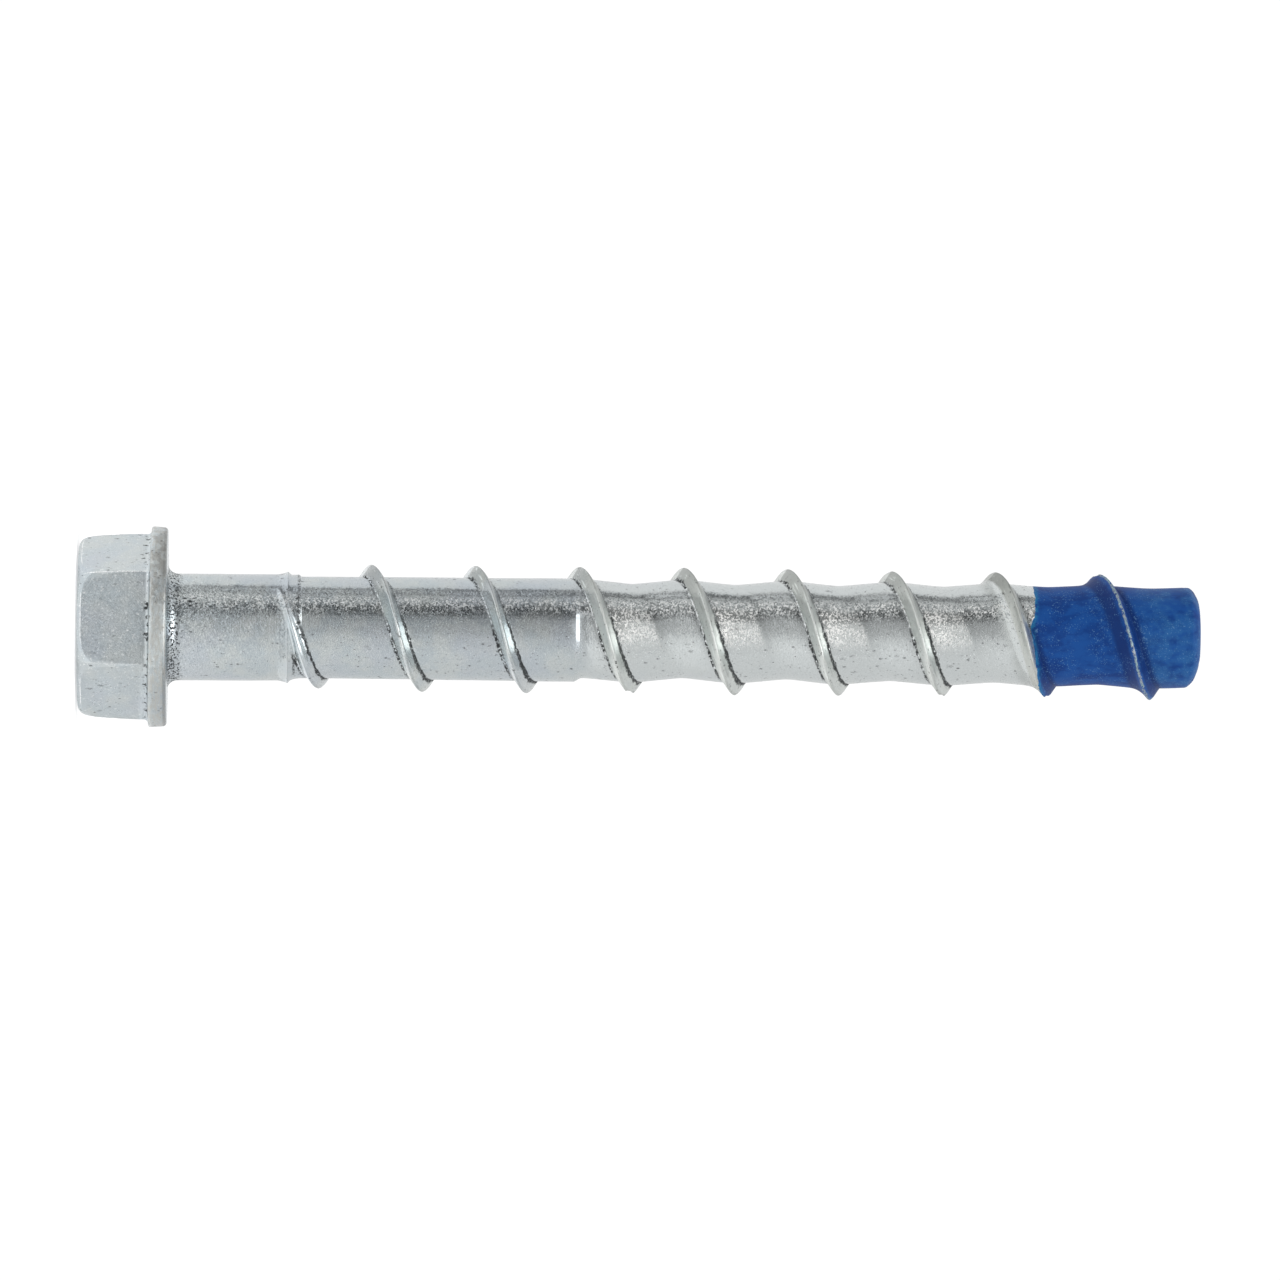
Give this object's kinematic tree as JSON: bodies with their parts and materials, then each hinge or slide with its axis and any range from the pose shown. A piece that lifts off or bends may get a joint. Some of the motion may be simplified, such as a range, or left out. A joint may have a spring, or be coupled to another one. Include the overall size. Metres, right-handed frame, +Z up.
{
  "type": "concrete screw",
  "caption": "Hex flange head concrete screw with a plain shank, a coarse right-hand thread on a waisted core and a blunt painted tip.",
  "frame": {"origin": "centre of the bearing face, the side of the flange that clamps down, on the screw's axis", "axes": "+Z is up and is the screw's axis, from the head to the tip. The screw stands on the flat top of its head, which is at Z = -13.35 mm, because a lying one rolls on its round flange. The hex has a face that is turned 24.2 degrees from +X towards +Y."},
  "size_m": [0.0296, 0.0296, 0.1657],
  "materials": {
    "zinc_plated_steel": "bright zinc plating, with blue dip paint on the last fifth"
  },
  "bodies": {
    "root": {"concrete_screw": "zinc_plated_steel"}
  },
  "joints": []
}
